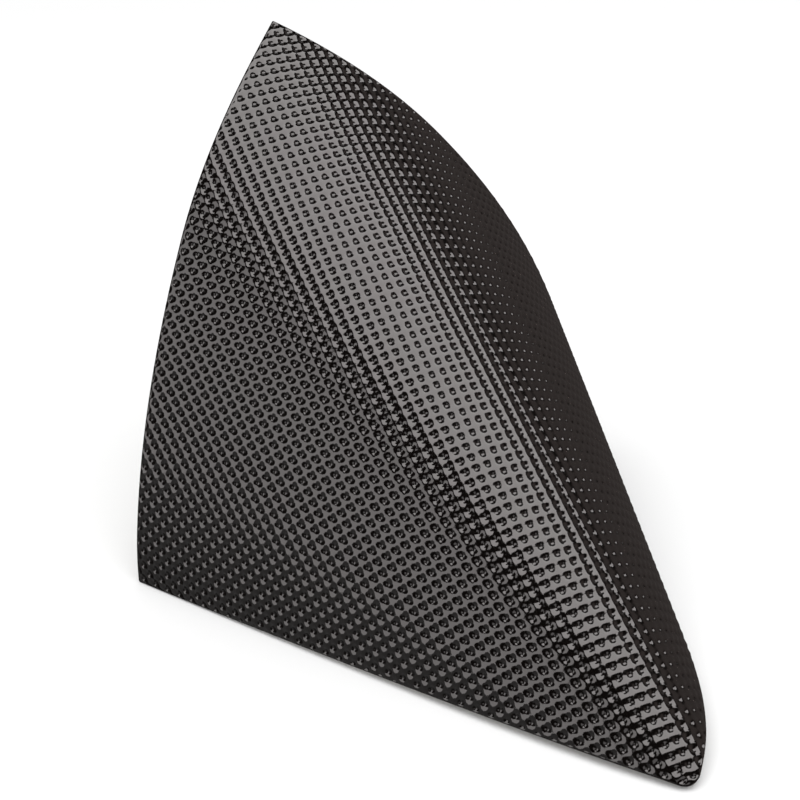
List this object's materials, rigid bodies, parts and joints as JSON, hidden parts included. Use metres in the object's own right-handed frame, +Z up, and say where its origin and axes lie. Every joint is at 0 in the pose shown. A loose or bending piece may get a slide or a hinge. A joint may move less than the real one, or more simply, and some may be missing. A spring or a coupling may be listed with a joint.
{
  "type": "snowboard stomp pad",
  "caption": "Square rubber traction sheet covered in small round dimples, with an adhesive-backed film and a peel-off liner, flexed over its diagonal into a tent.",
  "frame": {"origin": "on the floor, at the centre of the bounding box's underside", "axes": "+Z up from the floor; +Y along the fold ridge seen from above, from the low front corner to the raised back corner; +X to the right seen from the front"},
  "size_m": [0.1284, 0.177, 0.1191],
  "materials": {
    "rubber": "semi-gloss moulded elastomer, near black with warm grey highlights",
    "adhesive": "clear, slightly yellow pressure-sensitive adhesive",
    "film": "thin translucent polyester film",
    "liner": "silicone-coated release paper, satin"
  },
  "bodies": {
    "pad": {"dimpled_sheet": "rubber", "sheet_side_adhesive": "adhesive", "carrier_film": "film", "board_side_adhesive": "adhesive"},
    "liner": {"release_liner": "liner"}
  },
  "joints": [
    {"name": "liner_release", "type": "slide", "parent": "pad", "child": "liner", "axis": [0, 0.9925, 0.1219], "range_m": [0, 0.18]}
  ]
}
